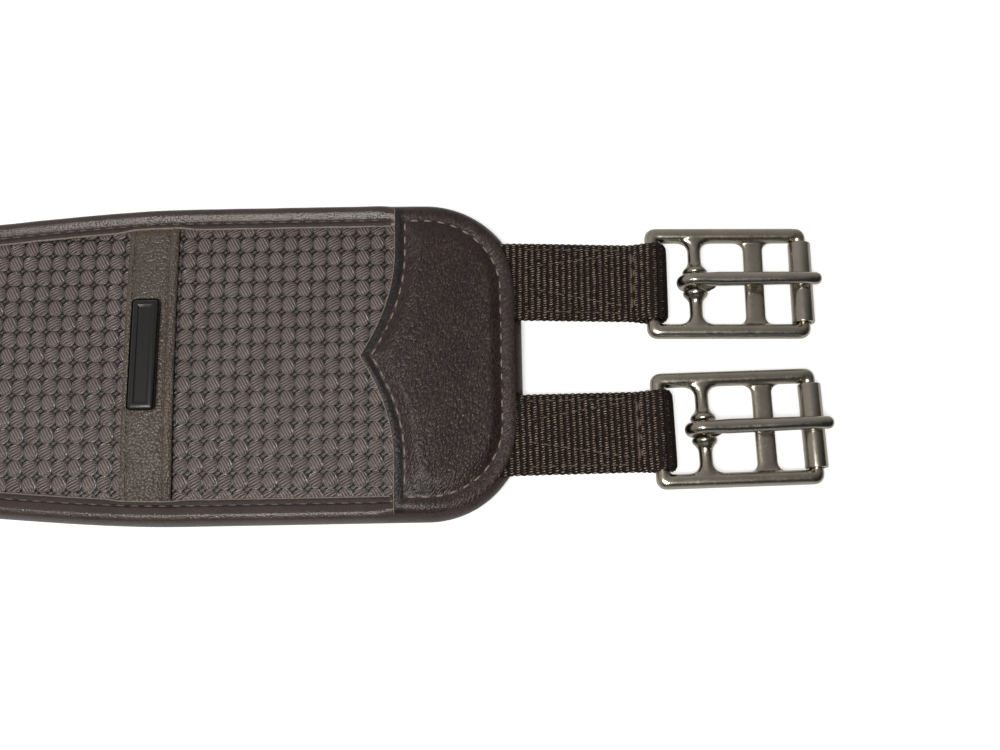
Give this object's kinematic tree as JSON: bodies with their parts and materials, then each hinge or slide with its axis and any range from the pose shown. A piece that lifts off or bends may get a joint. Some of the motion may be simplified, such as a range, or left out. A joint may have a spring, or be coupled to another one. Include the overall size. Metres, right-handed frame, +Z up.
{
  "type": "saddle girth",
  "caption": "Padded short saddle girth: basket-weave face, rolled lining edge and cusped leather end tabs over webbing straps that end in roller buckles",
  "frame": {"origin": "centre of the underside of the girth's bounding box, on the surface it lies on", "axes": "+X along the girth's length towards the pictured end, +Y across it towards the picture's upper strap, +Z up out of the woven face"},
  "size_m": [0.6102, 0.101, 0.0139],
  "materials": {
    "lining": "smooth semi-matt synthetic leather",
    "foam": "closed-cell foam, hidden",
    "face": "moulded basket-weave synthetic leather",
    "tab_leather": "smooth dark brown leather, stitched",
    "band": "pebbled olive-brown synthetic leather",
    "plate": "plain black plate",
    "webbing": "ribbed dark brown nylon webbing",
    "cast_steel": "satin cast stainless steel",
    "bright_steel": "polished stainless steel"
  },
  "bodies": {
    "girth": {"lining_cover": "lining", "foam_core": "foam", "face_panel": "face", "right_end_tab": "tab_leather", "left_end_tab": "tab_leather", "cross_band": "band", "band_plate": "plate", "rear_strap": "webbing", "front_strap": "webbing"},
    "right_rear_buckle": {"right_rear_buckle_frame": "cast_steel"},
    "right_rear_roller": {"right_rear_roller": "bright_steel"},
    "right_rear_tongue": {"right_rear_tongue": "bright_steel"},
    "right_front_buckle": {"right_front_buckle_frame": "cast_steel"},
    "right_front_roller": {"right_front_roller": "bright_steel"},
    "right_front_tongue": {"right_front_tongue": "bright_steel"},
    "left_rear_buckle": {"left_rear_buckle_frame": "cast_steel"},
    "left_rear_roller": {"left_rear_roller": "bright_steel"},
    "left_rear_tongue": {"left_rear_tongue": "bright_steel"},
    "left_front_buckle": {"left_front_buckle_frame": "cast_steel"},
    "left_front_roller": {"left_front_roller": "bright_steel"},
    "left_front_tongue": {"left_front_tongue": "bright_steel"}
  },
  "joints": [
    {"name": "right_rear_buckle_swing", "type": "hinge", "parent": "girth", "child": "right_rear_buckle", "pos_m": [0.25299, 0.02377, 0.0043], "axis": [-0.0175, -0.9998, 0], "range_deg": [-90, 70]},
    {"name": "right_rear_tongue_swing", "type": "hinge", "parent": "right_rear_buckle", "child": "right_rear_tongue", "pos_m": [0.26639, 0.02353, 0.0043], "axis": [-0.0175, -0.9998, 0], "range_deg": [0, 105]},
    {"name": "right_rear_roller_turn", "type": "hinge", "parent": "right_rear_buckle", "child": "right_rear_roller", "pos_m": [0.29999, 0.02295, 0.0043], "axis": [-0.0175, -0.9998, 0], "continuous": true},
    {"name": "right_front_buckle_swing", "type": "hinge", "parent": "girth", "child": "right_front_buckle", "pos_m": [0.25299, -0.02377, 0.0043], "axis": [0.0175, -0.9998, 0], "range_deg": [-90, 70]},
    {"name": "right_front_tongue_swing", "type": "hinge", "parent": "right_front_buckle", "child": "right_front_tongue", "pos_m": [0.26639, -0.02353, 0.0043], "axis": [0.0175, -0.9998, 0], "range_deg": [0, 105]},
    {"name": "right_front_roller_turn", "type": "hinge", "parent": "right_front_buckle", "child": "right_front_roller", "pos_m": [0.29999, -0.02295, 0.0043], "axis": [0.0175, -0.9998, 0], "continuous": true},
    {"name": "left_rear_buckle_swing", "type": "hinge", "parent": "girth", "child": "left_rear_buckle", "pos_m": [-0.25299, 0.02377, 0.0043], "axis": [-0.0175, 0.9998, 0], "range_deg": [-90, 70]},
    {"name": "left_rear_tongue_swing", "type": "hinge", "parent": "left_rear_buckle", "child": "left_rear_tongue", "pos_m": [-0.26639, 0.02353, 0.0043], "axis": [-0.0175, 0.9998, 0], "range_deg": [0, 105]},
    {"name": "left_rear_roller_turn", "type": "hinge", "parent": "left_rear_buckle", "child": "left_rear_roller", "pos_m": [-0.29999, 0.02295, 0.0043], "axis": [-0.0175, 0.9998, 0], "continuous": true},
    {"name": "left_front_buckle_swing", "type": "hinge", "parent": "girth", "child": "left_front_buckle", "pos_m": [-0.25299, -0.02377, 0.0043], "axis": [0.0175, 0.9998, 0], "range_deg": [-90, 70]},
    {"name": "left_front_tongue_swing", "type": "hinge", "parent": "left_front_buckle", "child": "left_front_tongue", "pos_m": [-0.26639, -0.02353, 0.0043], "axis": [0.0175, 0.9998, 0], "range_deg": [0, 105]},
    {"name": "left_front_roller_turn", "type": "hinge", "parent": "left_front_buckle", "child": "left_front_roller", "pos_m": [-0.29999, -0.02295, 0.0043], "axis": [0.0175, 0.9998, 0], "continuous": true}
  ]
}
